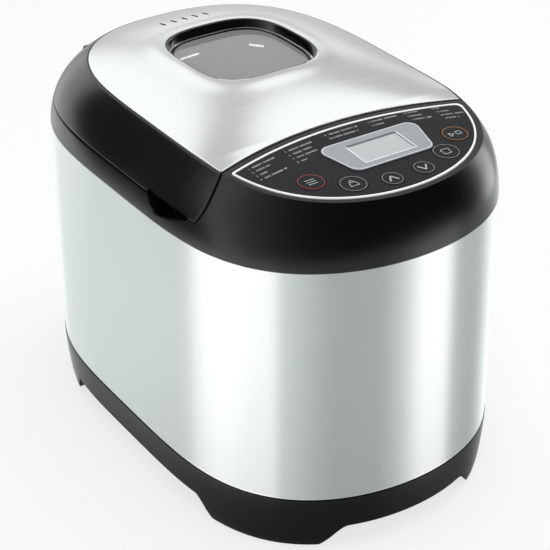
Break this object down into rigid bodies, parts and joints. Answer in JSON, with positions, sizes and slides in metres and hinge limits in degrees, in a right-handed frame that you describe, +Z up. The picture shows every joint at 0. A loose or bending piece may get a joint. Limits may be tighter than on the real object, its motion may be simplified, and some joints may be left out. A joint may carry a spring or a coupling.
{
  "type": "bread machine",
  "caption": "Compact bread machine: brushed steel body, domed lid with window on a rear hinge, sloping key panel, belt-driven paddle in a lift-out pan.",
  "frame": {"origin": "on the floor under the middle of the footprint", "axes": "+Z up, -Y towards the user and the control panel, +X to the right of someone who faces the panel from the front looking along +Y"},
  "size_m": [0.2312, 0.3508, 0.2741],
  "materials": {
    "black_moulding": "gloss",
    "wrap_steel": "brushed",
    "cover_steel": "brushed satin",
    "panel_overlay": "semi-gloss",
    "trim_silver": "bright",
    "display_silver": "satin",
    "lcd_glass": "clear over grey",
    "key_plastic": "satin",
    "bezel_plastic": "gloss",
    "window_glass": "grey tinted",
    "inner_glass": "clear",
    "liner_metal": "satin",
    "silicone": "matte",
    "hinge_plastic": "satin",
    "screw_steel": "plated",
    "foot_rubber": "matte",
    "sheet_steel": "galvanised",
    "chamber_metal": "satin",
    "heater_sheath": "heat-stained",
    "ceramic": "matte",
    "cast_alloy": "cast",
    "bronze": "sintered",
    "shaft_steel": "ground",
    "pulley_plastic": "moulded",
    "belt_rubber": "matte",
    "lamination_steel": "varnished",
    "copper_wire": "enamelled",
    "fan_plastic": "moulded",
    "capacitor_can": "satin",
    "circuit_board": "solder mask",
    "display_glass": "satin",
    "switch_plastic": "moulded",
    "nonstick": "non-stick coated",
    "seal_rubber": "matte"
  },
  "bodies": {
    "housing": {"base_moulding": "black_moulding", "bottom_plate": "sheet_steel", "case_screws": "screw_steel", "rubber_feet": "foot_rubber", "steel_wrap": "wrap_steel", "upper_frame": "black_moulding", "control_panel": "panel_overlay", "panel_trim": "trim_silver", "display_bezel": "display_silver", "lcd_window": "lcd_glass", "frame_hinge_bracket": "hinge_plastic", "hinge_pin": "screw_steel", "cord_gland": "hinge_plastic", "chassis_plate": "sheet_steel", "oven_chamber": "chamber_metal", "pan_socket": "sheet_steel", "heating_element": "heater_sheath", "element_clips": "sheet_steel", "temperature_sensor": "shaft_steel", "thermal_fuse": "ceramic", "bearing_housing": "cast_alloy", "shaft_bushes": "bronze", "drive_belt": "belt_rubber", "motor_stator": "lamination_steel", "motor_windings": "copper_wire", "motor_brackets": "cast_alloy", "motor_grommets": "foot_rubber", "run_capacitor": "capacitor_can", "control_board": "circuit_board", "display_module": "display_glass", "key_switches": "switch_plastic", "power_board": "circuit_board"},
    "lid": {"lid_shell": "black_moulding", "lid_cover": "cover_steel", "window_bezel": "bezel_plastic", "window_glass": "window_glass", "lid_liner": "liner_metal", "inner_glass": "inner_glass", "lid_seal": "silicone", "lid_hinge_leaf": "hinge_plastic"},
    "drive": {"drive_shaft": "shaft_steel", "drive_coupler": "cast_alloy", "large_pulley": "pulley_plastic"},
    "motor": {"motor_rotor": "shaft_steel", "motor_pulley": "shaft_steel", "motor_fan": "fan_plastic"},
    "pan": {"baking_pan": "nonstick", "pan_base": "cast_alloy", "shaft_seal": "seal_rubber"},
    "handle": {"pan_handle": "shaft_steel"},
    "paddle": {"kneading_paddle": "nonstick", "pan_shaft": "shaft_steel", "pan_coupling": "cast_alloy"},
    "menu_key": {"menu_key": "key_plastic"},
    "weight_key": {"weight_key": "key_plastic"},
    "up_key": {"up_key": "key_plastic"},
    "down_key": {"down_key": "key_plastic"},
    "crust_key": {"crust_key": "key_plastic"},
    "start_stop_key": {"start_stop_key": "key_plastic"}
  },
  "joints": [
    {"name": "lid_hinge", "type": "hinge", "parent": "housing", "child": "lid", "pos_m": [0, 0.166, 0.23], "axis": [-1, 0, 0], "range_deg": [0, 80]},
    {"name": "menu_key_press", "type": "slide", "parent": "housing", "child": "menu_key", "axis": [0, 0.0698, -0.9976], "range_m": [0, 0.0006], "stiffness_N_per_m": 1500, "springref_m": -0.0006},
    {"name": "weight_key_press", "type": "slide", "parent": "housing", "child": "weight_key", "axis": [0, 0.0698, -0.9976], "range_m": [0, 0.0006], "stiffness_N_per_m": 1500, "springref_m": -0.0006},
    {"name": "up_key_press", "type": "slide", "parent": "housing", "child": "up_key", "axis": [0, 0.0698, -0.9976], "range_m": [0, 0.0006], "stiffness_N_per_m": 1500, "springref_m": -0.0006},
    {"name": "down_key_press", "type": "slide", "parent": "housing", "child": "down_key", "axis": [0, 0.0698, -0.9976], "range_m": [0, 0.0006], "stiffness_N_per_m": 1500, "springref_m": -0.0006},
    {"name": "crust_key_press", "type": "slide", "parent": "housing", "child": "crust_key", "axis": [0, 0.0698, -0.9976], "range_m": [0, 0.0006], "stiffness_N_per_m": 1500, "springref_m": -0.0006},
    {"name": "start_stop_key_press", "type": "slide", "parent": "housing", "child": "start_stop_key", "axis": [0, 0.0698, -0.9976], "range_m": [0, 0.0006], "stiffness_N_per_m": 1500, "springref_m": -0.0006},
    {"name": "drive_spin", "type": "hinge", "parent": "housing", "child": "drive", "pos_m": [0, 0.03, 0.0295], "axis": [0, 0, 1], "continuous": true},
    {"name": "motor_spin", "type": "hinge", "parent": "housing", "child": "motor", "pos_m": [0, -0.122, 0.0295], "axis": [0, 0, 1], "continuous": true},
    {"name": "pan_lift", "type": "slide", "parent": "housing", "child": "pan", "axis": [0, 0, 1], "range_m": [0, 0.01]},
    {"name": "paddle_spin", "type": "hinge", "parent": "pan", "child": "paddle", "pos_m": [0, 0.03, 0.09], "axis": [0, 0, 1], "continuous": true},
    {"name": "handle_swing", "type": "hinge", "parent": "pan", "child": "handle", "pos_m": [0, 0.03, 0.194], "axis": [1, 0, 0], "range_deg": [0, 80]}
  ],
  "couplings": [
    {"joint": "motor_spin", "follows": "drive_spin", "ratio": 4.75},
    {"joint": "paddle_spin", "follows": "drive_spin", "ratio": 1},
    {"joint": "handle_swing", "follows": "lid_hinge", "ratio": 1}
  ]
}
